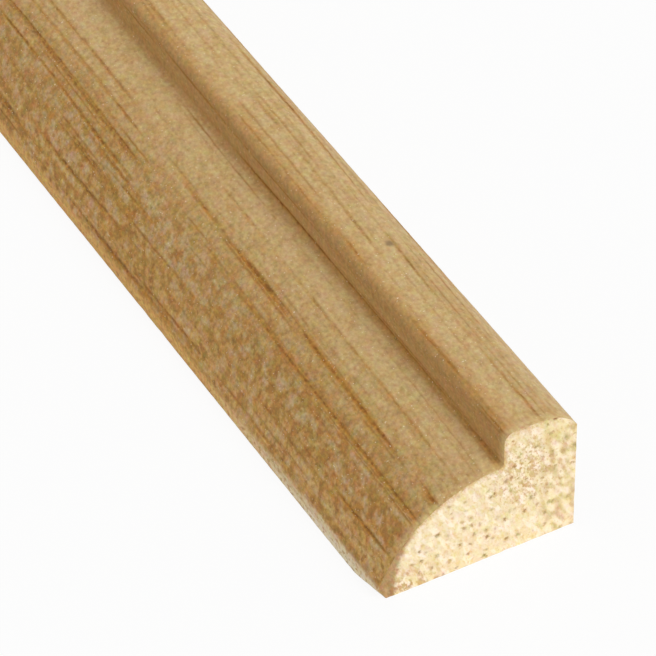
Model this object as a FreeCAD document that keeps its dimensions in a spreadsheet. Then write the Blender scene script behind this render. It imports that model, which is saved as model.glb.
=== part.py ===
import FreeCAD, Part
import os
import Sketcher

# Glass bead moulding: one stick of timber that holds a pane in its rebate.
# It lies on its wide base. +X runs from the thin toe to the tall back, +Y along the stick and +Z up.
# The origin is the middle of the base.

# Sizes of the stick, in millimetres
SIZES = {
    "stock_length": 2400.0,    # length that the stick is sold in
    "base_width": 17.0,        # toe to back
    "overall_height": 12.0,    # base to top
    "shoulder_width": 6.35,    # shoulder, from the quirk to the back
    "quirk_depth": 3.2,        # drop from the shoulder to the crown of the bead
    "quirk_radius": 0.3,       # hollow that the cutter's tip leaves in the quirk
    "toe_height": 1.2,         # square edge left under the bead
    "nose_radius": 0.9,        # rounding of the shoulder over the quirk
    "back_round_width": 3.25,  # part of the shoulder that falls away to the back
    "back_round_drop": 1.75,   # how far it falls
    "chip_length": 3.6,        # knocked toe corner, along the stick
    "chip_width": 0.7,         # knocked toe corner, across the base
    "chip_height": 1.1,        # knocked toe corner, up the toe
    "cutter_overrun": 2.0,     # how far a cutter runs past the blank
}

# Places that the outlines share, as expressions on the sheet
TOE = "-sizes.base_width / 2"
BACK = "sizes.base_width / 2"
QUIRK = "(sizes.base_width / 2 - sizes.shoulder_width)"
CROWN = "(sizes.overall_height - sizes.quirk_depth)"
TOP = "sizes.overall_height"
NEAR_END = "-sizes.stock_length / 2"
PAST_TOE = "(-sizes.base_width / 2 - sizes.cutter_overrun)"
PAST_BACK = "(sizes.base_width / 2 + sizes.cutter_overrun)"
PAST_TOP = "(sizes.overall_height + sizes.cutter_overrun)"
PAST_NEAR_END = "(-sizes.stock_length / 2 - sizes.cutter_overrun)"

# Numbers that a sketch gives to the points of a line or an arc
START, END, CENTRE = range(1, 4)

NODE = "glass_bead"
ADDS_WOOD = "QuirkRound"
CLOSE = 0.001

doc = FreeCAD.newDocument("glass_bead_moulding")


def make_sheet():
    """Write each size in a cell of its own, under its name."""
    sheet = doc.addObject("Spreadsheet::Sheet", "sizes")
    for row, (name, size) in enumerate(SIZES.items(), start=1):
        sheet.set(f"A{row}", name)
        sheet.set(f"B{row}", str(size))
        sheet.setAlias(f"B{row}", name)
    doc.recompute()


def make_sketch(body, name, plane_role):
    """Add a sketch on one of the body's own origin planes."""
    plane = next(feature for feature in body.Origin.OriginFeatures if feature.Role == plane_role)
    sketch = body.newObject("Sketcher::SketchObject", name)
    sketch.AttachmentSupport = (plane, "")
    sketch.MapMode = "FlatFace"
    return sketch


def arc_over(left, right):
    """Arc from one place of the section to another one further right. It's level at the higher of the two."""
    level = max(left, right, key=lambda place: place.y)
    run = right.x - left.x
    drop = abs(right.y - left.y)
    radius = (run ** 2 + drop ** 2) / (2 * drop)
    circle = Part.Circle(level - FreeCAD.Vector(0, radius, 0), FreeCAD.Vector(0, 0, 1), radius)
    return Part.ArcOfCircle(circle, circle.parameter(right), circle.parameter(left))


def draw_outline(sketch, corners, first_side_round=False):
    """Draw a closed outline, with each corner held in place by two expressions."""
    places = [FreeCAD.Vector(*(sketch.evalExpression(text) for text in corner), 0) for corner in corners]
    ends = []
    for side, start in enumerate(places):
        stop = places[(side + 1) % len(places)]
        if first_side_round and side == 0:
            sketch.addGeometry(arc_over(start, stop))
            ends.append((END, START))
        else:
            sketch.addGeometry(Part.LineSegment(start, stop))
            ends.append((START, END))
    for side, (across, along) in enumerate(corners):
        before = (side - 1) % len(corners)
        point = ends[side][0]
        sketch.addConstraint(Sketcher.Constraint("Coincident", before, ends[before][1], side, point))
        hold_coordinate(sketch, "DistanceX", side, point, across)
        hold_coordinate(sketch, "DistanceY", side, point, along)
    if first_side_round:
        level_point = END if places[0].y > places[1].y else START
        sketch.addConstraint(Sketcher.Constraint("Vertical", 0, CENTRE, 0, level_point))


def hold_coordinate(sketch, kind, side, point, expression):
    """Fix one coordinate of a corner by an expression on the sheet."""
    start = sketch.evalExpression(expression)
    number = sketch.addConstraint(Sketcher.Constraint(kind, side, point, start))
    sketch.setExpression(f"Constraints[{number}]", expression)


def pad_blank(body):
    """Plane a square blank, half of it on each side of the middle."""
    sketch = make_sketch(body, "BlankSection", "XZ_Plane")
    draw_outline(sketch, [
        (TOE, "0"),
        (BACK, "0"),
        (BACK, TOP),
        (TOE, TOP),
    ])
    pad = body.newObject("PartDesign::Pad", "Blank")
    pad.Profile = sketch
    pad.SideType = "Symmetric"
    pad.setExpression("Length", "sizes.stock_length")
    sketch.Visibility = False
    return pad


def cut_through(body, sketch, name):
    """Run a cutter right through the stick, both ways from its sketch."""
    pocket = body.newObject("PartDesign::Pocket", name)
    pocket.Profile = sketch
    pocket.SideType = "Symmetric"
    pocket.Type = "ThroughAll"
    sketch.Visibility = False
    return pocket


def mould_bead(body):
    """Mould the bead and the quirk's upright side in one pass along the blank."""
    sketch = make_sketch(body, "BeadSection", "XZ_Plane")
    bead_corners = [
        (TOE, "sizes.toe_height"),
        (QUIRK, CROWN),
        (QUIRK, PAST_TOP),
        (PAST_TOE, PAST_TOP),
        (PAST_TOE, "sizes.toe_height"),
    ]
    draw_outline(sketch, bead_corners, first_side_round=True)
    return cut_through(body, sketch, "BeadMoulding")


def ease_back(body):
    """Ease the shoulder down to the back in a second pass. It meets the back at an edge."""
    sketch = make_sketch(body, "BackSection", "XZ_Plane")
    round_start = "(sizes.base_width / 2 - sizes.back_round_width)"
    back_edge = "(sizes.overall_height - sizes.back_round_drop)"
    back_corners = [
        (round_start, TOP),
        (BACK, back_edge),
        (PAST_BACK, back_edge),
        (PAST_BACK, PAST_TOP),
        (round_start, PAST_TOP),
    ]
    draw_outline(sketch, back_corners, first_side_round=True)
    return cut_through(body, sketch, "BackEasing")


def edge_along(feature, across, up):
    """Name of the long edge at one place of the section."""
    line = (feature.evalExpression(across), feature.evalExpression(up))
    for number, edge in enumerate(feature.Shape.Edges, start=1):
        gaps = [abs(vertex.X - line[0]) + abs(vertex.Z - line[1]) for vertex in edge.Vertexes]
        if max(gaps) < CLOSE:
            return f"Edge{number}"
    raise RuntimeError(f"no long edge at {line}")


def round_edge(body, name, up, radius):
    """Round one edge of the quirk's upright side, all along the stick."""
    doc.recompute()
    base = body.Tip
    fillet = body.newObject("PartDesign::Fillet", name)
    fillet.Base = (base, [edge_along(base, QUIRK, up)])
    fillet.setExpression("Radius", radius)
    return fillet


def knock_toe_corner(body):
    """Break the toe's lower corner off the near end, as a knock leaves it.

    The cutter leans outwards as it rises, so that the break dies out just below the bead.
    """
    sketch = make_sketch(body, "ChipOutline", "XY_Plane")
    chip_across = "(-sizes.base_width / 2 + sizes.chip_width)"
    chip_along = "(-sizes.stock_length / 2 + sizes.chip_length)"
    draw_outline(sketch, [
        (TOE, chip_along),
        (chip_across, NEAR_END),
        (chip_across, PAST_NEAR_END),
        (PAST_TOE, PAST_NEAR_END),
        (PAST_TOE, chip_along),
    ])
    pocket = cut_through(body, sketch, "ToeChip")
    pocket.UseCustomVector = True
    pocket.setExpression("Direction.x", "-sizes.chip_width / sizes.chip_height")
    pocket.setExpression("Direction.y", "0")
    pocket.setExpression("Direction.z", "1")
    return pocket


def make_bead():
    """Make the stick from its blank, one operation after another."""
    body = doc.addObject("PartDesign::Body", "GlassBead")
    body.Label = NODE
    body.Placement = FreeCAD.Placement()
    steps = [
        pad_blank(body),
        mould_bead(body),
        ease_back(body),
        round_edge(body, "NoseRound", TOP, "sizes.nose_radius"),
        round_edge(body, "QuirkRound", CROWN, "sizes.quirk_radius"),
        knock_toe_corner(body),
    ]
    doc.recompute()
    return body, steps


def check_model(body, steps):
    """Stop unless every object is sound, and every operation cuts wood or, in the hollow quirk, leaves some."""
    for thing in doc.Objects:
        if "Invalid" in thing.State or "Error" in thing.State:
            raise RuntimeError(f"{thing.Name} failed: {thing.State}")
    for before, after in zip(steps, steps[1:]):
        removed = before.Shape.Volume - after.Shape.Volume
        print(f"{after.Name} takes away {removed:.2f} mm3")
        if removed == 0 or (removed < 0) != (after.Name == ADDS_WOOD):
            raise RuntimeError(f"{after.Name} doesn't change the stick as it should")
    shape = body.Shape
    if shape.isNull() or not shape.isValid() or len(shape.Solids) != 1:
        raise RuntimeError(f"{body.Label} is not one sound solid")


make_sheet()
glass_bead, operations = make_bead()
check_model(glass_bead, operations)

os.makedirs("parts", exist_ok=True)
glass_bead.Shape.exportStep(os.path.join("parts", f"{glass_bead.Label}.step"))
box = glass_bead.Shape.BoundBox
print(f"{glass_bead.Label}: {box.XLength:.3f} x {box.YLength:.3f} x {box.ZLength:.3f} mm,",
      f"{glass_bead.Shape.Volume:.1f} mm3, {len(glass_bead.Shape.Faces)} faces")
print(f"from {box.XMin:.3f}, {box.YMin:.3f}, {box.ZMin:.3f} to {box.XMax:.3f}, {box.YMax:.3f}, {box.ZMax:.3f}")
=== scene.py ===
# %% [markdown]
# # Glass bead moulding
#
# A glass bead is a slim stick of timber that holds a pane of glass in its frame. A machine runs a square
# blank past a shaped cutter, which leaves a flat shoulder, a narrow step called the quirk, and a long
# round bead that falls away to a thin toe.
#
# The construction is loaded first and stays fixed. Everything after it dresses that one stick: first its
# shape, with the fine relief that a cutter and a saw leave in wood, and then its grain and colour.

# %% Load the stick as it was constructed
import math

import bpy
from mathutils import Matrix, Vector


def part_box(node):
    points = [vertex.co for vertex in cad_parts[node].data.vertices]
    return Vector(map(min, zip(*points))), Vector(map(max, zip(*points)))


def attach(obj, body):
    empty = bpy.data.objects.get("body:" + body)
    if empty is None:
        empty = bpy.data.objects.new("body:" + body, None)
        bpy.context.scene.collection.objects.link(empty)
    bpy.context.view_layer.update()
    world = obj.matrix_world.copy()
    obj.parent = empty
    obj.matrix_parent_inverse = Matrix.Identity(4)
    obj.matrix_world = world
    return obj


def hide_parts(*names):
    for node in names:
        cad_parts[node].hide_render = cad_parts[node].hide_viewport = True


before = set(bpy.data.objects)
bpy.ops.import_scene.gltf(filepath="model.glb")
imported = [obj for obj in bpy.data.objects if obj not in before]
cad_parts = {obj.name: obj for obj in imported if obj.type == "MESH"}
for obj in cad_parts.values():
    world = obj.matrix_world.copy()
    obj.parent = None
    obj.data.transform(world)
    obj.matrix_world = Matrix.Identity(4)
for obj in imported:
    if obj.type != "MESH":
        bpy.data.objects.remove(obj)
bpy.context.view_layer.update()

MM = 0.001

# %% [markdown]
# ## The sizes of the section
#
# The stick lies on its base with +X from the toe to the back, +Y along the stick and +Z up. Its width,
# height and length come from the frame. The rest of the section is given here, because it sits inside
# that box: a maker would read the same sizes off the cutter's drawing.

# %% Sizes of the section
stick_low, stick_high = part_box("glass_bead")
TOE_X, BACK_X = stick_low.x, stick_high.x
NEAR_Y, FAR_Y = stick_low.y, stick_high.y
TOP_Z = stick_high.z

SHOULDER_WIDTH = 6.35 * MM
QUIRK_DEPTH = 3.2 * MM
QUIRK_RADIUS = 0.3 * MM
TOE_HEIGHT = 1.2 * MM
NOSE_RADIUS = 0.9 * MM
BACK_ROUND_WIDTH = 3.25 * MM
BACK_ROUND_DROP = 1.75 * MM
CHIP_LENGTH = 3.6 * MM
CHIP_WIDTH = 0.7 * MM
CHIP_HEIGHT = 1.1 * MM

quirk_x = BACK_X - SHOULDER_WIDTH
crown_z = TOP_Z - QUIRK_DEPTH
bead_run = quirk_x - TOE_X
bead_rise = crown_z - TOE_HEIGHT


def radius_over(run, drop):
    """Radius of an arc that starts level and falls by a drop in a run."""
    return (run ** 2 + drop ** 2) / (2 * drop)


bead_radius = radius_over(bead_run, bead_rise)
bead_centre_z = crown_z - bead_radius
back_radius = radius_over(BACK_ROUND_WIDTH, BACK_ROUND_DROP)
print(f"section {(BACK_X - TOE_X) / MM:.1f} x {TOP_Z / MM:.1f} mm")
print(f"radius of the bead {bead_radius / MM:.2f} mm, and of the eased back {back_radius / MM:.2f} mm")

# %% [markdown]
# ## Drawing the outline of the section
#
# A moulding has the same section all along, so its outline is drawn first and then pulled out lengthways.
# One could cut the shape from a block instead, but a drawn outline keeps every curve true and puts its
# points just where fine relief will need them: close together on the moulded side, which shows, and
# further apart on the base and the back, which are plain.
#
# The pencil is a single point. A straight side extrudes it in even steps, and a round side spins it about
# the centre of its curve.

# %% A pencil for outlines
FINE_STEP = 0.09 * MM
PLAIN_STEP = 0.5 * MM
PENCIL_WIDTH = 1.0 * MM
POINT_REACH = 0.01 * MM    # points of the outline that are closer than this are one


def start_outline(name, across, up):
    """A mesh of one point at a place of the section, in edit mode."""
    bpy.ops.object.select_all(action="DESELECT")
    bpy.ops.mesh.primitive_plane_add(size=PENCIL_WIDTH, location=(0, 0, 0))
    outline = bpy.context.object
    outline.name = outline.data.name = name
    bpy.ops.object.mode_set(mode="EDIT")
    bpy.ops.mesh.select_mode(type="VERT")
    bpy.ops.mesh.select_all(action="SELECT")
    bpy.ops.mesh.merge(type="CENTER")
    bpy.ops.transform.translate(value=(across, 0, up))
    return outline


def draw_straight(across, up, step):
    """Draw a straight side from the last point, that far across and up."""
    move = Vector((across, 0, up))
    count = max(1, round(move.length / step))
    for _ in range(count):
        bpy.ops.mesh.extrude_vertices_move(TRANSFORM_OT_translate={"value": move / count})


def draw_round(across, up, radius, turn, step):
    """Draw a round side from the last point about a centre. A positive turn runs from +Z towards +X."""
    count = max(1, round(radius * abs(turn) / step))
    bpy.ops.mesh.spin(steps=count, angle=-turn, center=(across, 0, up), axis=(0, 1, 0))


# %% The outline, from the top of the toe and round by the back
quirk_angle = math.asin(QUIRK_RADIUS / (bead_radius + QUIRK_RADIUS))
quirk_centre_z = bead_centre_z + (bead_radius + QUIRK_RADIUS) * math.cos(quirk_angle)
toe_angle = math.atan2(bead_run, TOE_HEIGHT - bead_centre_z)
back_angle = math.asin(BACK_ROUND_WIDTH / back_radius)
quarter = math.pi / 2

outline = start_outline("outline", TOE_X, TOE_HEIGHT)
draw_round(quirk_x, bead_centre_z, bead_radius, toe_angle - quirk_angle, FINE_STEP)
draw_round(quirk_x - QUIRK_RADIUS, quirk_centre_z, QUIRK_RADIUS, quirk_angle - quarter, FINE_STEP)
draw_straight(0, TOP_Z - NOSE_RADIUS - quirk_centre_z, FINE_STEP)
draw_round(quirk_x + NOSE_RADIUS, TOP_Z - NOSE_RADIUS, NOSE_RADIUS, quarter, FINE_STEP)
draw_straight(SHOULDER_WIDTH - NOSE_RADIUS - BACK_ROUND_WIDTH, 0, FINE_STEP)
draw_round(BACK_X - BACK_ROUND_WIDTH, TOP_Z - back_radius, back_radius, back_angle, FINE_STEP)
draw_straight(0, BACK_ROUND_DROP - TOP_Z, PLAIN_STEP)
draw_straight(TOE_X - BACK_X, 0, PLAIN_STEP)
draw_straight(0, TOE_HEIGHT, PLAIN_STEP)
bpy.ops.mesh.select_all(action="SELECT")
bpy.ops.mesh.remove_doubles(threshold=POINT_REACH)
bpy.ops.object.mode_set(mode="OBJECT")
print(f"outline: {len(outline.data.vertices)} points")

# %% [markdown]
# ## Pulling the section out along the stick
#
# The outline is extruded ring after ring. The stretch next to the near end is the one that a viewer sees
# close up, so its rings are less than half a millimetre apart and can carry the relief of the grain. Past
# it the steps grow, because a straight stretch needs few faces. Many small steps add up to a length that
# is a few thousandths of a millimetre off, so the last ring is pressed flat against the far end's plane.

# %% Steps from ring to ring, and tools for whole pieces
CLOSE_STRETCH = 74 * MM
CLOSE_RING = 0.45 * MM
RING_GROWTH = 1.5
LONGEST_RING = 120 * MM


def ring_steps():
    """Distances from ring to ring, from the near end to the far one."""
    count = round(CLOSE_STRETCH / CLOSE_RING)
    steps = [CLOSE_STRETCH / count] * count
    left = (FAR_Y - NEAR_Y) - CLOSE_STRETCH
    step = CLOSE_RING
    while left > 0:
        step = min(step * RING_GROWTH, LONGEST_RING, left)
        steps.append(step)
        left -= step
    return steps


def edit_whole(piece):
    """Select one piece and all of its mesh, in edit mode."""
    bpy.ops.object.select_all(action="DESELECT")
    piece.select_set(True)
    bpy.context.view_layer.objects.active = piece
    bpy.ops.object.mode_set(mode="EDIT")
    bpy.ops.mesh.reveal()
    bpy.ops.mesh.select_all(action="SELECT")


def copy_piece(piece, name):
    """A copy with a mesh of its own."""
    twin = piece.copy()
    twin.data = piece.data.copy()
    twin.name = twin.data.name = name
    bpy.context.collection.objects.link(twin)
    return twin


# %% Pull the outline out, ring by ring
near_outline = copy_piece(outline, "near_end")
far_outline = copy_piece(outline, "far_end")

stick = outline
stick.name = stick.data.name = "moulded_stick"
edit_whole(stick)
bpy.ops.transform.translate(value=(0, NEAR_Y, 0))
for step in ring_steps():
    bpy.ops.mesh.extrude_region_move(TRANSFORM_OT_translate={"value": (0, step, 0)})
bpy.ops.transform.resize(value=(1, 0, 1), center_override=(0, FAR_Y, 0))
bpy.ops.object.mode_set(mode="OBJECT")
print(f"long faces: {len(ring_steps())} rings, {len(stick.data.polygons)} faces")

# %% [markdown]
# ## Closing the two ends
#
# Each end is a sawn face of end grain, full of cut pores. It needs small even cells to hold them, so the
# filled outline keeps a narrow rim whole, which still fits the long faces point for point, and everything
# inside the rim is sliced into squares by planes across and planes level, as a chip cutter would do.

# %% The sawn ends
RIM = 0.1 * MM
NEAR_CELL = 0.1 * MM
FAR_CELL = 0.4 * MM
CUT_REACH = 0.001 * MM


def slice_cells(low, high, cell, normal):
    """Slice the faces that show into strips one cell wide, between two places along an axis."""
    axis = Vector(normal)
    count = math.floor((high - low) / cell)
    for number in range(1, count + 1):
        bpy.ops.mesh.select_all(action="SELECT")
        bpy.ops.mesh.bisect(plane_co=axis * (low + number * cell), plane_no=axis, threshold=CUT_REACH)


def close_end(end, along, cell):
    """Fill an outline, slice all but its rim into cells, and set it at its place along the stick."""
    edit_whole(end)
    bpy.ops.mesh.edge_face_add()
    bpy.ops.mesh.select_mode(type="FACE")
    bpy.ops.mesh.inset(thickness=RIM, depth=0)
    bpy.ops.mesh.hide(unselected=True)
    slice_cells(TOE_X + RIM, BACK_X - RIM, cell, (1, 0, 0))
    slice_cells(RIM, TOP_Z - RIM, cell, (0, 0, 1))
    bpy.ops.mesh.reveal()
    bpy.ops.mesh.select_all(action="SELECT")
    bpy.ops.transform.translate(value=(0, along, 0))
    bpy.ops.object.mode_set(mode="OBJECT")
    print(f"{end.name}: {len(end.data.polygons)} faces")


close_end(near_outline, NEAR_Y, NEAR_CELL)
close_end(far_outline, FAR_Y, FAR_CELL)

# %% [markdown]
# ## A pencil for node maths
#
# The relief of the wood and its colour come from the same pores, so both are worked out by the same
# formulas: once by geometry nodes, which move the mesh, and once by shader nodes, which colour it. A
# small class wraps a socket, so that a formula reads as it would on paper, in whichever kind of tree the
# socket belongs to.

# %% Wires that do arithmetic
class Wire:
    """One output of a node. Arithmetic on it adds the Math nodes that work it out."""

    def __init__(self, tree, socket):
        self.tree = tree
        self.socket = socket

    def node(self, kind, settings=None, inputs=None, out=0):
        """Add a node: its settings first, then the values or wires of its inputs. Gives one output."""
        made = self.tree.nodes.new(kind)
        for name, value in (settings or {}).items():
            setattr(made, name, value)
        for name, value in (inputs or {}).items():
            if isinstance(value, Wire):
                self.tree.links.new(value.socket, made.inputs[name])
            else:
                made.inputs[name].default_value = value
        return Wire(self.tree, made.outputs[out])

    def maths(self, operation, *values):
        return self.node("ShaderNodeMath", {"operation": operation}, dict(enumerate(values)))

    def __add__(self, other):
        return self.maths("ADD", self, other)

    def __radd__(self, other):
        return self.maths("ADD", other, self)

    def __sub__(self, other):
        return self.maths("SUBTRACT", self, other)

    def __rsub__(self, other):
        return self.maths("SUBTRACT", other, self)

    def __mul__(self, other):
        return self.maths("MULTIPLY", self, other)

    def __rmul__(self, other):
        return self.maths("MULTIPLY", other, self)

    def __truediv__(self, other):
        return self.maths("DIVIDE", self, other)

    def __pow__(self, other):
        return self.maths("POWER", self, other)

    def absolute(self):
        return self.maths("ABSOLUTE", self)

    def wave(self):
        return self.maths("SINE", self)

    def rise(self, low, high):
        """0 below low, 1 above high, and a smooth step between them."""
        inputs = {"Value": self, "From Min": low, "From Max": high}
        return self.node("ShaderNodeMapRange", {"interpolation_type": "SMOOTHSTEP"}, inputs)

    def fall(self, low, high):
        """1 below low, 0 above high, and a smooth step between them."""
        return 1 - self.rise(low, high)

    def output(self, number):
        """Another output of the same node."""
        return Wire(self.tree, self.socket.node.outputs[number])

    def parts(self):
        """The three numbers of a vector or a colour."""
        first = self.node("ShaderNodeSeparateXYZ", None, {0: self})
        return [first.output(number) for number in range(3)]

    def vector(self, x, y, z):
        return self.node("ShaderNodeCombineXYZ", None, {0: x, 1: y, 2: z})

    def scaled(self, factor):
        """This vector or colour times a number."""
        return self.node("ShaderNodeVectorMath", {"operation": "SCALE"}, {0: self, "Scale": factor})

    def away_from(self, place):
        """Distance of this place from another one."""
        return self.node("ShaderNodeVectorMath", {"operation": "DISTANCE"}, {0: self, 1: place}, 1)

    def noise(self, x, y, z, detail=2.0, roughness=0.5, out=0):
        """Soft noise from 0 to 1, with one hill or hollow to each unit. Output 1 is a colour."""
        inputs = {"Vector": self.vector(x, y, z), "Scale": 1.0, "Detail": detail, "Roughness": roughness}
        return self.node("ShaderNodeTexNoise", None, inputs, out)

    def blend(self, other, share, kind="MIX"):
        """This colour mixed with another one, by a share from 0 to 1."""
        settings = {"data_type": "RGBA", "blend_type": kind, "clamp_factor": True}
        return self.node("ShaderNodeMix", settings, {0: share, 6: self, 7: other}, 2)

    def plain(self, colour):
        """A colour that is the same everywhere, as a start for blends."""
        return self.node("ShaderNodeMix", {"data_type": "RGBA"}, {0: 0.0, 6: colour, 7: colour}, 2)


# %% Colours from a paint chart
def paint(red, green, blue):
    """A colour given as a paint chart gives it, from 0 to 255, in the linear light that shaders use."""
    shares = [channel / 255 for channel in (red, green, blue)]
    linear = [share / 12.92 if share <= 0.04045 else ((share + 0.055) / 1.055) ** 2.4 for share in shares]
    return (*linear, 1.0)


# %% [markdown]
# ## How the wood grows
#
# A light hardwood is full of fine tubes that carried sap up the tree. They run nearly along the stick,
# lean a little towards its back, and wander. Where a tube meets a long face it is cut open slantwise and
# shows as a brown line some millimetres long. Where it meets a sawn end it shows as a dot. One could draw
# lines and dots one by one, but they would never meet at the edges. So the tubes are laid out once, as
# two sets of scattered points of the section, wide ones and fine ones, that drift slowly along the stick.
# The lines and dots come out of them by themselves.

# %% The grain in the solid wood
GRAIN_LEAN = 0.02          # how far the grain leans towards the back, for each mm along the stick
DRIFT_REACH = 2.4          # how far the grain wanders, in mm
DRIFT_ALONG = 1 / 50       # one bend in the grain for each 50 mm of length
DRIFT_ACROSS = 1 / 9
WOBBLE_REACH = 0.2         # how far a tube strays from its line, in mm
WOBBLE_ALONG = 1.1         # bends in its line for each mm of length
WOBBLE_ACROSS = 1.2


def mottled(x, y, z, across, along, **more):
    """Soft noise with so many blotches to each mm, across the stick and along it."""
    return x.noise(x * across, y * along, z * across, **more)


def grain_place(point):
    """Place in mm, and the place in the section at which the wood's tubes start, far down the stick."""
    x, y, z = point.scaled(1 / MM).parts()
    drift = mottled(x, y, z, DRIFT_ACROSS, DRIFT_ALONG, detail=1.0, out=1)
    drift_x, drift_z, _ = drift.parts()
    wobble = mottled(x, y, z, WOBBLE_ACROSS, WOBBLE_ALONG, detail=4.0, out=1)
    wobble_x, wobble_z, _ = wobble.parts()
    grain_x = x - y * GRAIN_LEAN + (drift_x - 0.5) * DRIFT_REACH + (wobble_x - 0.5) * WOBBLE_REACH
    grain_z = z + (drift_z - 0.5) * DRIFT_REACH + (wobble_z - 0.5) * WOBBLE_REACH
    return x, y, z, grain_x, grain_z


# %% Tubes in the grain
TUBE_EDGE = (0.4, 1.5)     # where a tube fades out, in radii from its middle
STAIN_EDGE = (0.8, 2.8)    # where the stain round it fades out
PALEST_TUBE = 0.35
WIDE_TUBES = {"spacing": 0.95, "thin": 0.09, "spread": 0.07}
FINE_TUBES = {"spacing": 0.5, "thin": 0.055, "spread": 0.055}


def sap_tubes(grain_x, grain_z, spacing, thin, spread):
    """How deep a place lies in a tube, how far into its stain, and how dark that tube is, each 0 to 1.

    The tubes are scattered at a spacing in mm. The thinnest has the radius thin, and the widest has
    spread added to it.
    """
    section = grain_x.vector(grain_x, grain_z, 0.0)
    inputs = {"Vector": section, "Scale": 1 / spacing}
    nearest = section.node("ShaderNodeTexVoronoi", {"voronoi_dimensions": "2D"}, inputs)
    chance_width, chance_dark, _ = nearest.output(1).parts()
    in_radii = nearest * spacing / (thin + spread * chance_width)
    strength = PALEST_TUBE + (1 - PALEST_TUBE) * chance_dark
    return in_radii.fall(*TUBE_EDGE), in_radii.fall(*STAIN_EDGE), strength


def broken_up(y, grain_x, grain_z):
    """Where along the stick the tubes lie open, from 0 to 1."""
    return mottled(grain_x, y, grain_z, across=0.8, along=0.08).rise(0.32, 0.54)


# %% [markdown]
# ## One closed stick
#
# The long faces and the two ends now become one mesh. The wood has one finish on its long faces and
# another on its sawn ends, so both materials are made here, still empty, and the ends take theirs before
# everything is joined. The points of each rim lie on the points of the last ring, and merging them closes
# the stick.

# %% Join the ends to the long faces
face_grain = bpy.data.materials.new("face_grain")
end_grain = bpy.data.materials.new("end_grain")
SEAM_REACH = 0.002 * MM

stick.data.materials.append(face_grain)
for end in (near_outline, far_outline):
    end.data.materials.append(end_grain)

bpy.ops.object.select_all(action="DESELECT")
for piece in (stick, near_outline, far_outline):
    piece.select_set(True)
bpy.context.view_layer.objects.active = stick
bpy.ops.object.join()
edit_whole(stick)
bpy.ops.mesh.remove_doubles(threshold=SEAM_REACH)
bpy.ops.mesh.normals_make_consistent(inside=False)
bpy.ops.object.mode_set(mode="OBJECT")
print(f"stick: {len(stick.data.vertices)} points, {len(stick.data.polygons)} faces")

# %% [markdown]
# ## The knocked corner
#
# At the near end the toe has lost its corner: a splinter nearly four millimetres long broke away along
# the grain. One slanted cut takes it off, filled so that the stick stays closed, and the broken face is
# sliced into cells as the ends were, so that it can look torn. The edges that only one face uses are
# counted afterwards, because a closed stick has none.

# %% Break the toe's corner off
CHIP_CELL = 0.15 * MM

edit_whole(stick)
bpy.ops.mesh.select_mode(type="FACE")
bpy.ops.mesh.bisect(
    plane_co=(TOE_X, NEAR_Y + CHIP_LENGTH, 0),
    plane_no=Vector((-1 / CHIP_WIDTH, -1 / CHIP_LENGTH, -1 / CHIP_HEIGHT)).normalized(),
    use_fill=True,
    clear_outer=True,
    threshold=CUT_REACH,
)
stick.active_material_index = stick.data.materials.find(face_grain.name)
bpy.ops.object.material_slot_assign()
bpy.ops.mesh.hide(unselected=True)
slice_cells(NEAR_Y, NEAR_Y + CHIP_LENGTH, CHIP_CELL, (0, 1, 0))
slice_cells(0, CHIP_HEIGHT, CHIP_CELL, (0, 0, 1))
bpy.ops.mesh.reveal()
bpy.ops.mesh.select_all(action="SELECT")
bpy.ops.mesh.normals_make_consistent(inside=False)
bpy.ops.mesh.select_all(action="DESELECT")
bpy.ops.mesh.select_mode(type="EDGE")
bpy.ops.mesh.select_non_manifold()
bpy.ops.object.mode_set(mode="OBJECT")
open_edges = sum(edge.select for edge in stick.data.edges)
print(f"with the chip: {len(stick.data.polygons)} faces, {open_edges} open edges")

# %% [markdown]
# ## Relief of the wood
#
# Planed wood isn't smooth. Every open tube is a groove, the cutter leaves a faint ripple, and fibres
# stand a little proud between them. On the sawn end each tube is a pit, and the saw tears the wood around
# it. Sculpting this by hand would never line up with the colour, so geometry nodes push each point in by
# a depth that the same tubes give. The push is always inwards, because the stick was straight before it
# was cut. The near end is also worn along the low part of the bead, so a wedge of it lies a little
# deeper.

# %% How deep the relief is
toe_mm, quirk_mm, back_mm = TOE_X / MM, quirk_x / MM, BACK_X / MM
toe_top_mm, crown_mm, top_mm = TOE_HEIGHT / MM, crown_z / MM, TOP_Z / MM
near_y_mm = NEAR_Y / MM

WIDE_DEPTH = 0.06          # mm
FINE_DEPTH = 0.03
RIPPLE_PITCH = 1.7         # mm from one mark of the cutter to the next
RIPPLE_DEPTH = 0.01
FIBRE_DEPTH = 0.02
HOLLOW_DEPTH = 0.06
PIT_DEPTH = 0.035
SAW_DEPTH = 0.08
TEAR_DEPTH = 0.035
WORN_DEPTH = 0.04
WORN_HEIGHT = 6.2          # mm above the base at which the wear starts
WORN_SLOPE = 0.28          # how much wider it gets for each mm further down
WORN_RAGGED = 0.6          # how far its edge strays, in mm
RAY_ACROSS = (1.27, 0.53)  # how far a place is across the wood's rays, for each mm of x and of z
RAY_ALONG = (-0.16, 0.73)  # how far it is along them


def long_face_depth(x, y, z, grain_x, grain_z):
    """Depth in mm of the relief on a planed face."""
    wide, _, wide_strength = sap_tubes(grain_x, grain_z, **WIDE_TUBES)
    fine, _, fine_strength = sap_tubes(grain_x, grain_z, **FINE_TUBES)
    grooves = wide * wide_strength * WIDE_DEPTH + fine * fine_strength * FINE_DEPTH
    ripple = (y * (2 * math.pi / RIPPLE_PITCH)).wave() * 0.5 + 0.5
    fibre = mottled(grain_x, y, grain_z, across=5, along=0.3)
    hollow = mottled(x, y, z, across=0.2, along=0.05)
    open_grooves = grooves * broken_up(y, grain_x, grain_z)
    return open_grooves + ripple * RIPPLE_DEPTH + fibre * FIBRE_DEPTH + hollow * HOLLOW_DEPTH


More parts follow.
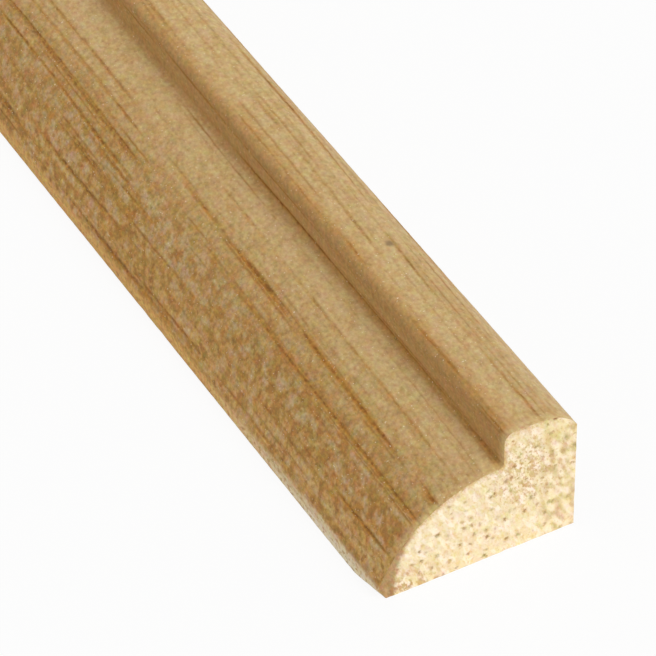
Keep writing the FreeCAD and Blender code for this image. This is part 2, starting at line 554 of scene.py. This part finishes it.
def depth_in_bead(x, z):
    """How far a place of the section lies inside the bead's curve, in mm."""
    across = x - quirk_mm
    up = z - bead_centre_z / MM
    return bead_radius / MM - (across * across + up * up) ** 0.5


def worn_toe(x, y, z):
    """1 where the near end is worn along the low part of the bead, 0 elsewhere."""
    ragged = x.noise(x * 1.5, 0.0, z * 1.5) - 0.5
    reach = (WORN_HEIGHT - z) * WORN_SLOPE + ragged * WORN_RAGGED
    wedge = (reach - depth_in_bead(x, z)).rise(-0.2, 0.25) * z.fall(WORN_HEIGHT - 1, WORN_HEIGHT)
    return wedge * y.fall(0.0, 1.0)


def ray_place(x, z):
    """Place in the section across and along the wood's rays, which lean towards the toe as they rise."""
    across = x * RAY_ACROSS[0] + z * RAY_ACROSS[1]
    along = x * RAY_ALONG[0] + z * RAY_ALONG[1]
    return across, along


def sawn_face_depth(x, y, z, grain_x, grain_z):
    """Depth in mm of the relief on a sawn end."""
    across, along = ray_place(x, z)
    pits, _, _ = sap_tubes(grain_x, grain_z, **WIDE_TUBES)
    saw = x.noise(x * 1.3 + z * 0.3, 0.0, z * 2.0 - x * 0.5, detail=3.0)
    tear = x.noise(across * 4, y, along * 4, detail=3.0)
    return pits * PIT_DEPTH + saw * SAW_DEPTH + tear * TEAR_DEPTH + worn_toe(x, y, z) * WORN_DEPTH


# %% Push the relief into the mesh
half_length_mm = (FAR_Y - NEAR_Y) / 2 / MM
END_SKIN = 0.02            # mm from a sawn end within which a point belongs to it
FADE_START = 0.9           # share of the close stretch past which the relief dies out


def build_relief():
    """Geometry nodes that push every point of the stick in by the depth of its relief."""
    tree = bpy.data.node_groups.new("wood_relief", "GeometryNodeTree")
    tree.interface.new_socket("Geometry", in_out="INPUT", socket_type="NodeSocketGeometry")
    tree.interface.new_socket("Geometry", in_out="OUTPUT", socket_type="NodeSocketGeometry")
    shape = Wire(tree, tree.nodes.new("NodeGroupInput").outputs[0])
    point = Wire(tree, tree.nodes.new("GeometryNodeInputPosition").outputs[0])
    normal = Wire(tree, tree.nodes.new("GeometryNodeInputNormal").outputs[0])
    place = grain_place(point)
    y = place[1]
    sawn = y.absolute().rise(half_length_mm - END_SKIN, half_length_mm - END_SKIN / 2)
    close = (y - near_y_mm).fall(CLOSE_STRETCH / MM * FADE_START, CLOSE_STRETCH / MM)
    depth = long_face_depth(*place) * close * (1 - sawn) + sawn_face_depth(*place) * sawn
    inputs = {"Geometry": shape, "Offset": normal.scaled(depth * -MM)}
    moved = shape.node("GeometryNodeSetPosition", None, inputs)
    tree.links.new(moved.socket, tree.nodes.new("NodeGroupOutput").inputs[0])
    return tree


planed = [point.co.copy() for point in stick.data.vertices]
bpy.ops.object.modifier_add(type="NODES")
stick.modifiers[-1].node_group = build_relief()
bpy.ops.object.modifier_apply(modifier=stick.modifiers[-1].name)
deepest = max((point.co - before).length for point, before in zip(stick.data.vertices, planed))
print(f"deepest relief {deepest / MM:.2f} mm")

# %% Smooth the faces and keep the arrises crisp
CRISP_ANGLE = math.radians(50)

bpy.ops.object.modifier_add(type="TRIANGULATE")
bpy.ops.object.modifier_apply(modifier=stick.modifiers[-1].name)
bpy.ops.object.shade_smooth_by_angle(angle=CRISP_ANGLE)
print(f"finished stick: {len(stick.data.polygons)} triangles")

# %% [markdown]
# ## Colour of the planed faces
#
# The wood is a light tan, a little darker towards the toe. One could paint it from a picture of a board,
# but a picture has edges and seams, and it can't follow the relief. Here the colour is built up as the
# wood itself is, one layer over another, and every layer reads the same place in the solid wood as the
# relief does.
#
# Each material starts empty, with one shader and one wire that gives the place on the stick.

# %% An empty material
def start_material(material):
    """Clear a material and give its tree, its shader, and the place on the stick as a wire."""
    material.use_nodes = True
    tree = material.node_tree
    tree.nodes.clear()
    output = tree.nodes.new("ShaderNodeOutputMaterial")
    shader = tree.nodes.new("ShaderNodeBsdfPrincipled")
    tree.links.new(shader.outputs[0], output.inputs["Surface"])
    point = Wire(tree, tree.nodes.new("ShaderNodeTexCoord").outputs["Object"])
    return tree, shader, point


def finish_material(tree, shader, colour, surface, height):
    """Give a shader its colour, and a bump of that height in mm where the surface runs from 0 to 1."""
    tree.links.new(colour.socket, shader.inputs["Base Color"])
    bump = surface.node("ShaderNodeBump", None, {"Height": surface, "Distance": height * MM})
    tree.links.new(bump.socket, shader.inputs["Normal"])


# %% [markdown]
# The ground comes first: tan wood with pale and dark streaks along it. The figure lies over them. It is
# the blotchy ripple across the grain, and it is strongest on the toe's side. The hollow of the quirk, its
# step and the nose of the shoulder are a little darker than the rest: painted shade, where the step of
# the quirk shades the wood.

# %% Ground and figure
SHOULDER_TAN = paint(210, 179, 124)
TOE_TAN = paint(186, 145, 86)
TOE_PALE = paint(218, 168, 94)
STREAK_PALE = paint(216, 188, 140)
STREAK_DARK = paint(168, 126, 72)
FIGURE_BROWN = paint(164, 112, 46)
FIGURE_PALE = paint(206, 180, 146)
QUIRK_SHADE_TAN = paint(186, 132, 62)
STEP_SHADE_BROWN = paint(158, 108, 46)
FIGURE_SINE, FIGURE_COSINE = 0.49, 0.87    # of its slant to the stick, about 29 degrees


def lay_ground(x, y, z, toe_side, streaks):
    """Tan wood with streaks, the figure over them, and painted shade round the quirk."""
    # Darker tan towards the toe: partly its denser figure, partly painted shade for the side that turns
    # away from the sun.
    colour = x.plain(SHOULDER_TAN).blend(TOE_TAN, toe_side)
    colour = colour.blend(TOE_PALE, x.fall(toe_mm, toe_mm + 3.0) * 0.8)
    colour = colour.blend(STREAK_PALE, streaks.rise(0.5, 0.75) * 0.5)
    colour = colour.blend(STREAK_DARK, streaks.fall(0.25, 0.5) * 0.4)
    slant_along = x * FIGURE_SINE + y * FIGURE_COSINE
    slant_across = x * FIGURE_COSINE - y * FIGURE_SINE
    figure = x.noise(slant_across * 1.3, slant_along * 0.75, z * 0.9, detail=3.0, roughness=0.6)
    patchy = mottled(x, y, z, across=0.2, along=0.04, detail=0.0).rise(0.35, 0.6)
    figured = x.fall(toe_mm + 2.0, toe_mm + 6.0) * (0.5 + 0.5 * patchy)
    colour = colour.blend(FIGURE_BROWN, figure.rise(0.5, 0.6) * (0.2 + 0.5 * figured))
    colour = colour.blend(FIGURE_PALE, figure.fall(0.38, 0.5) * (0.15 + 0.35 * figured))
    # Painted shade: the wood round the hollow of the quirk is darkened where the step shades it.
    painted_quirk_shade = x.rise(quirk_mm - 0.55, quirk_mm - 0.05) * x.fall(quirk_mm + 0.05, quirk_mm + 2.25)
    colour = colour.blend(QUIRK_SHADE_TAN, painted_quirk_shade * (0.4 + 0.3 * streaks))
    # Painted shade: the upper step of the quirk and the nose of the shoulder are darkened where they turn
    # from the sun.
    painted_step_shade = x.rise(quirk_mm - 0.25, quirk_mm + 0.05) * x.fall(quirk_mm + 0.05, quirk_mm + 1.05)
    return colour.blend(STEP_SHADE_BROWN, painted_step_shade * z.rise(crown_mm + 0.8, crown_mm + 2.6) * 0.3)


# %% [markdown]
# The cut tubes come next. Each one has a soft orange stain, a brown line inside it, and darker dashes
# where dust has settled in the groove. They crowd together in some places and on the toe's side, and are
# few in others, such as the crown of the bead. The groove's shade is kept as well, because the bump needs
# it.

# %% Lines of the cut tubes
TUBE_BROWN = paint(150, 95, 28)
TUBE_DARK = paint(112, 70, 22)
STAIN_ORANGE = paint(177, 124, 44)


def nose_of(x, z):
    """1 on the rounded nose of the shoulder, 0 elsewhere."""
    near_quirk = x.rise(quirk_mm - 0.25, quirk_mm + 0.05) * x.fall(quirk_mm + 0.25, quirk_mm + 1.45)
    return near_quirk * z.rise(crown_mm + 0.1, crown_mm + 0.8)


def draw_tubes(colour, place, toe_side):
    """Draw the tubes' stains and lines over a colour. Gives the new colour and the wide lines."""
    x, y, z, grain_x, grain_z = place
    open_tubes = broken_up(y, grain_x, grain_z)
    wide, wide_stain, wide_strength = sap_tubes(grain_x, grain_z, **WIDE_TUBES)
    fine, fine_stain, fine_strength = sap_tubes(grain_x, grain_z, **FINE_TUBES)
    crowding = mottled(grain_x, y, grain_z, across=0.35, along=0.01)
    calm_crown = x.rise(quirk_mm - 6.15, quirk_mm - 4.65) * x.fall(quirk_mm - 1.65, quirk_mm - 0.65)
    lined = (crowding + toe_side * 0.4 + nose_of(x, z) * 0.3 - calm_crown * 0.12).rise(0.36, 0.66)
    lines = wide * wide_strength * (0.5 + 0.5 * lined) * open_tubes
    thin_lines = fine * fine_strength * (0.2 + 0.8 * lined) * open_tubes
    stains = wide_stain * wide_strength * (0.4 + 0.6 * lined) * open_tubes
    thin_stains = fine_stain * fine_strength * lined * open_tubes
    dashes = mottled(x, y, z, across=2.0, along=1.8, detail=3.0).rise(0.45, 0.6)
    colour = colour.blend(STAIN_ORANGE, stains * 0.95)
    colour = colour.blend(STAIN_ORANGE, thin_stains * 0.55)
    colour = colour.blend(TUBE_BROWN, lines * (0.55 + 0.4 * dashes))
    colour = colour.blend(TUBE_BROWN, thin_lines * 0.7)
    return colour.blend(TUBE_DARK, lines * dashes * 0.5), lines


# %% [markdown]
# The arrises are where a stick shows how it was handled. The toe's square edge turns orange further
# along,
# and near the end it is a pale cream: painted light, for the white floor's bounce onto that low face. The
# last millimetre before the sawn end is scuffed.

# %% Edges and the scuffed end
END_TAN = paint(222, 190, 132)
BOUNCE_LIT_CREAM = paint(252, 236, 200)
EDGE_ORANGE = paint(232, 180, 98)


def wear_and_light_edges(colour, x, z, from_end, streaks):
    """Colour the toe's square edge, with painted bounce light near the end, and the faces next to the
    sawn end.
    """
    edge = z.fall(toe_top_mm - 0.2, toe_top_mm + 0.4) * x.fall(toe_mm + 0.4, toe_mm + 0.6)
    # Painted light: the pale cream near the end stands for the floor's bounce; the orange further along
    # is the edge's own colour.
    edge_colour_and_bounce = x.plain(BOUNCE_LIT_CREAM).blend(EDGE_ORANGE, from_end.rise(6.0, 30.0))
    colour = colour.blend(edge_colour_and_bounce, edge * (0.7 + 0.3 * streaks.rise(0.35, 0.6)))
    over_edge = z.rise(toe_top_mm, toe_top_mm + 0.2) * z.fall(toe_top_mm + 0.3, toe_top_mm + 0.7)
    colour = colour.blend(TUBE_BROWN, over_edge * streaks.rise(0.5, 0.6) * 0.4)
    ragged = mottled(x, from_end, z, across=1.5, along=0.6, detail=3.0)
    fringe = (from_end + ragged * 0.6).fall(0.4, 1.3) * z.rise(3.0, 6.0)
    return colour.blend(END_TAN, fringe * 0.8)


# %% [markdown]
# Last come the smallest things: gold, pink and grey specks a few tenths of a millimetre wide, white
# specks that are a painted glint for the sparkle of single fibres, and one small grey fleck on the
# shoulder. They keep the wood from looking painted.

# %% Specks
FLECK_GOLD = paint(184, 142, 66)
GLINT_WHITE = paint(250, 236, 205)
FLECK_GREY = paint(112, 92, 66)
FLECK_PLACE = (5.6, near_y_mm + 22.8, top_mm)


def add_specks(colour, x, y, z, toe_side):
    """Scatter fine specks over a colour, more of them towards the toe, and set the one grey fleck."""
    gold = mottled(x, y, z, across=2.6, along=2.0)
    colour = colour.blend(FLECK_GOLD, gold.rise(0.5, 0.65) * (0.25 + 0.35 * toe_side))
    tint = mottled(x, y, z, across=1.3, along=1.1, detail=3.0, roughness=0.7, out=1)
    colour = colour.blend(tint, 0.25 + 0.1 * toe_side, "OVERLAY")
    shade = mottled(x, y, z, across=3.2, along=2.6, detail=2.0, roughness=0.6)
    colour = colour.blend(shade, 0.4 + 0.2 * toe_side, "OVERLAY")
    # Painted glints: white specks stand for the sparkle of single fibres.
    sparkle = mottled(x, y, z, across=7, along=7, detail=0.0)
    colour = colour.blend(GLINT_WHITE, sparkle.rise(0.76, 0.86) * 0.6)
    from_fleck = x.vector(x, y, z).away_from(FLECK_PLACE)
    return colour.blend(FLECK_GREY, from_fleck.fall(0.15, 0.55) * 0.6)


# %% Face grain, layer over layer
FACE_ROUGHNESS = 0.62
FACE_GLOSS = 0.3
FACE_BUMP = 0.03


def colour_face_grain():
    """Make the material of the planed faces."""
    tree, shader, point = start_material(face_grain)
    place = grain_place(point)
    x, y, z, grain_x, grain_z = place
    toe_side = x.fall(toe_mm + 2.5, toe_mm + 9.5)
    streaks = mottled(grain_x, y, grain_z, across=1.1, along=0.018, detail=3.0)
    colour = lay_ground(x, y, z, toe_side, streaks)
    colour, lines = draw_tubes(colour, place, toe_side)
    colour = wear_and_light_edges(colour, x, z, y - near_y_mm, streaks)
    colour = add_specks(colour, x, y, z, toe_side)
    fibres = mottled(grain_x, y, grain_z, across=7, along=0.4)
    finish_material(tree, shader, colour, fibres * 0.4 + (1 - lines), FACE_BUMP)
    shader.inputs["Roughness"].default_value = FACE_ROUGHNESS
    shader.inputs["Specular IOR Level"].default_value = FACE_GLOSS
    print(f"face grain: {len(tree.nodes)} nodes")


colour_face_grain()

# %% [markdown]
# ## Colour of the sawn ends
#
# A sawn end is paler than the planed faces, because the saw leaves it rough and dry. It is cream, with
# rosy and yellow patches, which are a little longer along the wood's rays. The tubes show as small olive
# dots, and they crowd round the middle of the shoulder. The edges of a dot are frayed, so the place that
# its tube reads is jittered first.

# %% Cream wood
END_CREAM = paint(236, 217, 180)
END_PALE = paint(250, 234, 208)
END_YELLOW = paint(228, 206, 146)
END_OLIVE = paint(184, 146, 86)
HEART_PLACE = (4.6, 0.0, 7.5)
YELLOW_PLACE = (6.4, near_y_mm, 10.4)


def lay_end(x, y, z, torn, patches):
    """Cream wood with soft patches. Gives its colour, and how crowded the tubes are, from 0 to 1."""
    across, along = ray_place(x, z)
    blobs = x.noise(across * 1.2, y, along * 0.9, detail=1.0)
    crowded = x.vector(x, 0.0, z).away_from(HEART_PLACE).fall(1.0, 5.0)
    colour = x.plain(END_CREAM)
    colour = colour.blend(END_PALE, blobs.rise(0.46, 0.62) * 0.85)
    colour = colour.blend(END_YELLOW, patches.rise(0.5, 0.66) * 0.7)
    colour = colour.blend(END_TAN, torn.rise(0.52, 0.66) * 0.6)
    colour = colour.blend(END_OLIVE, patches.rise(0.46, 0.6) * crowded * 0.5)
    colour = colour.blend(END_OLIVE, torn.rise(0.54, 0.64) * crowded * 0.45)
    soft = x.noise(across * 1.4, y, along * 1.4, detail=0.0)
    near_back = x.rise(back_mm - 4.0, back_mm - 2.0)
    colour = colour.blend(END_YELLOW, near_back * 0.3)
    colour = colour.blend(END_OLIVE, soft.fall(0.25, 0.6) * near_back * 0.5)
    colour = colour.blend(END_PALE, soft.rise(0.45, 0.7) * near_back * 0.5)
    from_yellow = x.vector(x, y, z).away_from(YELLOW_PLACE)
    return colour.blend(END_YELLOW, from_yellow.fall(0.4, 1.5) * 0.6), crowded


# %% Dots of the cut tubes
DOT_BROWN = paint(150, 120, 70)
DOT_JITTER = 0.35          # how far a dot's edge strays, in mm


def dot_tubes(colour, place, crowded):
    """Draw the cut tubes of a sawn end as frayed dots."""
    x, y, z, grain_x, grain_z = place
    jitter_x, jitter_z, _ = x.noise(x * 5, y, z * 5, detail=1.0, out=1).parts()
    dot_x = grain_x + (jitter_x - 0.5) * DOT_JITTER
    dot_z = grain_z + (jitter_z - 0.5) * DOT_JITTER
    wide, wide_stain, wide_strength = sap_tubes(dot_x, dot_z, **WIDE_TUBES)
    fine, _, fine_strength = sap_tubes(dot_x, dot_z, **FINE_TUBES)
    colour = colour.blend(END_OLIVE, fine * fine_strength * (0.25 + 0.6 * crowded))
    faint = 1 - 0.35 * x.rise(back_mm - 5.0, back_mm - 3.0)
    colour = colour.blend(END_OLIVE, wide_stain * wide_strength.rise(0.4, 1.0) * faint * 0.4)
    return colour.blend(DOT_BROWN, wide * wide_strength.rise(0.45, 1.0) * faint * 0.8)


# %% [markdown]
# The border of the end is scuffed back to the tan of the faces. At the near end the low part of the toe
# is worn right through to brown, in a wedge that widens downwards. It is the same wedge that the relief
# sinks.

# %% Border and wear of the ends
WORN_BROWN = paint(160, 122, 77)
RIM_TAN = paint(204, 170, 116)
NICK_BROWN = paint(132, 78, 40)
NICK_PLACE = (6.6, near_y_mm, 11.7)


def wear_end(colour, x, y, z, torn, patches):
    """Scuff the border of an end, and wear the toe of the near one and nick its top edge."""
    low_toe = x.fall(toe_mm + 2.0, toe_mm + 7.5) * z.fall(0.5, 3.0)
    colour = colour.blend(END_OLIVE, patches.rise(0.42, 0.6) * low_toe * 0.8)
    rim_of_bead = depth_in_bead(x, z).fall(0.0, 0.7) * x.fall(quirk_mm - 0.35, quirk_mm + 0.45)
    rim_of_quirk = x.fall(quirk_mm, quirk_mm + 0.55) * z.rise(crown_mm - 0.2, crown_mm + 0.2)
    rim = rim_of_bead + (z.rise(top_mm - 0.7, top_mm) + rim_of_quirk)
    colour = colour.blend(RIM_TAN, rim * (0.35 + 0.5 * torn.rise(0.35, 0.6)))
    from_nick = x.vector(x, y, z).away_from(NICK_PLACE)
    colour = colour.blend(NICK_BROWN, from_nick.fall(0.08, 0.32) * 0.8)
    return colour.blend(WORN_BROWN, worn_toe(x, y, z) * (1 - 0.3 * torn))


# %% End grain, layer over layer
END_ROUGHNESS = 0.85
END_GLOSS = 0.2
END_BUMP = 0.06


def colour_end_grain():
    """Make the material of the sawn ends."""
    tree, shader, point = start_material(end_grain)
    place = grain_place(point)
    x, y, z = place[:3]
    across, along = ray_place(x, z)
    torn = x.noise(across * 3.2, y, along * 3.2, detail=3.0, roughness=0.7)
    patches = x.noise(across * 1.5, y, along * 1.5, detail=2.0, roughness=0.6)
    colour, crowded = lay_end(x, y, z, torn, patches)
    colour = dot_tubes(colour, place, crowded)
    colour = wear_end(colour, x, y, z, torn, patches)
    tint = x.noise(across * 1.4, y, along * 1.4, detail=3.0, roughness=0.7, out=1)
    colour = colour.blend(tint, 0.35, "OVERLAY")
    shade = x.noise(across * 4.0, y, along * 4.0, detail=2.0, roughness=0.6)
    colour = colour.blend(shade, 0.35, "OVERLAY")
    finish_material(tree, shader, colour, torn, END_BUMP)
    shader.inputs["Roughness"].default_value = END_ROUGHNESS
    shader.inputs["Specular IOR Level"].default_value = END_GLOSS
    print(f"end grain: {len(tree.nodes)} nodes")


colour_end_grain()

# %% The stick takes the place of its plain construction
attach(stick, "root")
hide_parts("glass_bead")
print(f"{stick.name} takes the place of glass_bead")

# %% [markdown]
# ## Floor
#
# The stick lies on a plain pale floor, as on a sheet of paper. The floor could be lit until it turns
# white, but then the wood would be too bright as well. So rays that only look at it meet a white glow
# mixed into its matt paint, while the light that falls on the wood never sees that glow. The stick's soft
# shadow stays.

# %% Floor
FLOOR_SIZE = 60.0
FLOOR_WHITE = (0.9, 0.9, 0.89, 1.0)
PURE_WHITE = (1.0, 1.0, 1.0, 1.0)
FLOOR_GLOW = 0.9


def rays_of(tree):
    """1 for rays that only look: straight from the camera, off a gloss or through glass. 0 for others."""
    outputs = tree.nodes.new("ShaderNodeLightPath").outputs
    straight, glossy, through = [
        Wire(tree, outputs[f"Is {kind} Ray"]) for kind in ("Camera", "Glossy", "Transmission")
    ]
    direct = straight.maths("MAXIMUM", straight, glossy)
    return direct.maths("MAXIMUM", direct, through)


bpy.ops.object.select_all(action="DESELECT")
bpy.ops.mesh.primitive_plane_add(size=FLOOR_SIZE, location=(0, 0, 0))
floor = bpy.context.object
floor.name = floor.data.name = "floor"
floor_white = bpy.data.materials.new("floor_white")
floor_white.use_nodes = True
nodes = floor_white.node_tree.nodes
nodes.clear()
looks = rays_of(floor_white.node_tree)
matt = looks.node("ShaderNodeBsdfDiffuse", None, {"Color": FLOOR_WHITE})
glow = looks.node("ShaderNodeEmission", None, {"Color": PURE_WHITE, "Strength": 1.0})
mixed = looks.node("ShaderNodeMixShader", None, {0: looks * FLOOR_GLOW, 1: matt, 2: glow})
floor_white.node_tree.links.new(mixed.socket, nodes.new("ShaderNodeOutputMaterial").inputs[0])
floor.data.materials.append(floor_white)
print(f"floor {FLOOR_SIZE:.0f} m wide")

# %% [markdown]
# ## Light
#
# One broad soft sun stands over the near end, a little towards the back. It makes the sawn end the
# brightest face and leaves the step of the quirk in a soft shadow, which is what shows the moulding's
# shape. The air round the stick gives the rest. A small hard lamp would draw a black edge into every
# groove and hide the colour of the grain.

# %% Light
SUN_FROM = Vector((0.16, -0.78, 0.62))
SUN_STRENGTH = 2.0
SUN_SPREAD = math.radians(40)
SKY_STRENGTH = 0.48

bpy.ops.object.light_add(type="SUN", location=SUN_FROM)
sun = bpy.context.object
sun.name = "sun"
sun.rotation_euler = SUN_FROM.to_track_quat("Z", "Y").to_euler()
sun.data.energy = SUN_STRENGTH
sun.data.angle = SUN_SPREAD
world = bpy.data.worlds.new("studio")
bpy.context.scene.world = world
world.use_nodes = True
sky = world.node_tree.nodes
sky.clear()
looks = rays_of(world.node_tree)
strength = SKY_STRENGTH + looks * (1 - SKY_STRENGTH)
air = looks.node("ShaderNodeBackground", None, {"Color": PURE_WHITE, "Strength": strength})
world.node_tree.links.new(air.socket, sky.new("ShaderNodeOutputWorld").inputs[0])
bpy.context.scene.view_settings.view_transform = "Standard"
print(f"sun {math.degrees(SUN_SPREAD):.0f} degrees wide, air at {SKY_STRENGTH:.0%}")

# %% [markdown]
# ## Camera
#
# The camera looks down at the near end from the toe's side, so that the section, the bead and the
# shoulder all show, and the stick runs off out of the picture. Its place and its aim are given from the
# middle of the near end. A long lens from a third of a metre away keeps the stick's long edges nearly
# parallel, as they are to the eye.

# %% Camera
CAMERA_FROM_END = Vector((-134.3, -218.7, 254.8)) * MM
AIM_FROM_END = Vector((-1.56, 19.78, 8.8)) * MM
CAMERA_ROLL = math.radians(-0.42)
CAMERA_LENS = 265.4
SENSOR_WIDTH = 36.0
NEAREST_SEEN = 0.01
FARTHEST_SEEN = 100.0

near_end = Vector((0, NEAR_Y, 0))
camera_place = near_end + CAMERA_FROM_END
view_line = near_end + AIM_FROM_END - camera_place
bpy.ops.object.camera_add(location=camera_place)
camera = bpy.context.object
turn = view_line.to_track_quat("-Z", "Y").to_matrix().to_4x4() @ Matrix.Rotation(CAMERA_ROLL, 4, "Z")
camera.rotation_euler = turn.to_euler()
camera.data.lens = CAMERA_LENS
camera.data.sensor_width = SENSOR_WIDTH
camera.data.clip_start = NEAREST_SEEN
camera.data.clip_end = FARTHEST_SEEN
bpy.context.scene.camera = camera
print(f"camera {view_line.length / MM:.0f} mm from its aim")
